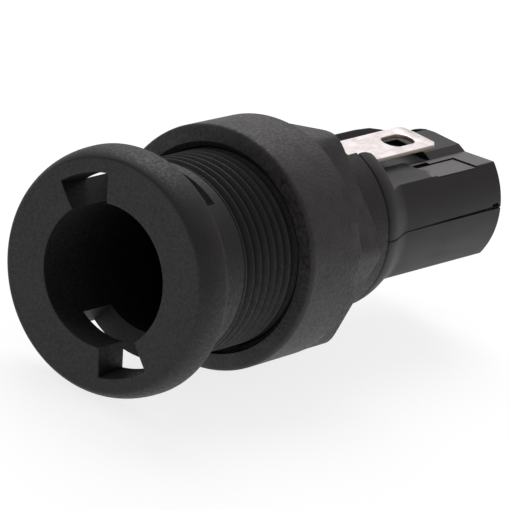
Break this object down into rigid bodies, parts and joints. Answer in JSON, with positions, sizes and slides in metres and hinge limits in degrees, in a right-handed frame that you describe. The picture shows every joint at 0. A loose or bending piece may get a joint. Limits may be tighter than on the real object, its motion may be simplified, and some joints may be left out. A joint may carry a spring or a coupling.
{
  "type": "cartridge fuse holder",
  "caption": "Panel-mount bayonet holder body for a cartridge fuse: flanged threaded barrel, panel nut, split rear housing and two solder lugs; fuse carrier not fitted.",
  "frame": {"origin": "on the holder's axis, in the plane of the flange's rear face, which seats on the panel's front", "axes": "+Y along the axis from the flange to the terminals, +Z out of the side terminal's flat face, +X to the right seen from the front"},
  "size_m": [0.0202, 0.0511, 0.0202],
  "materials": {
    "barrel_plastic": "black glass-filled polyamide, fine moulded grain",
    "nut_plastic": "black glass-filled polyamide, granular and slightly dusty",
    "housing_plastic": "black glass-filled polyamide, smoother, satin",
    "tinned_brass": "hot-tinned brass, satin, warm grey",
    "spring_bronze": "bare phosphor bronze strip",
    "rivet_brass": "bare brass",
    "plated_brass": "nickel plate",
    "spring_steel": "drawn spring wire"
  },
  "bodies": {
    "holder": {"barrel": "barrel_plastic", "rear_housing_upper": "housing_plastic", "rear_housing_lower": "housing_plastic", "side_terminal": "tinned_brass", "side_contact_rivet": "rivet_brass", "end_terminal": "tinned_brass", "end_contact_spring": "spring_steel"},
    "panel_nut": {"panel_nut": "nut_plastic"},
    "end_contact": {"end_contact_cup": "plated_brass"},
    "contact_leaf": {"side_contact_leaf": "spring_bronze"}
  },
  "joints": [
    {"name": "nut_travel", "type": "slide", "parent": "holder", "child": "panel_nut", "axis": [0, 1, 0], "range_m": [-0.0084, 0.0116]},
    {"name": "end_contact_travel", "type": "slide", "parent": "holder", "child": "end_contact", "axis": [0, 1, 0], "range_m": [0, 0.002], "stiffness_N_per_m": 2000, "springref_m": -0.001, "deforming": ["end_contact_spring"]},
    {"name": "leaf_flex", "type": "hinge", "parent": "holder", "child": "contact_leaf", "pos_m": [0, 0.0208, 0.00577], "axis": [-1, 0, 0], "range_deg": [0, 6], "stiffness_Nm_per_rad": 0.16, "springref_deg": -1.15}
  ]
}
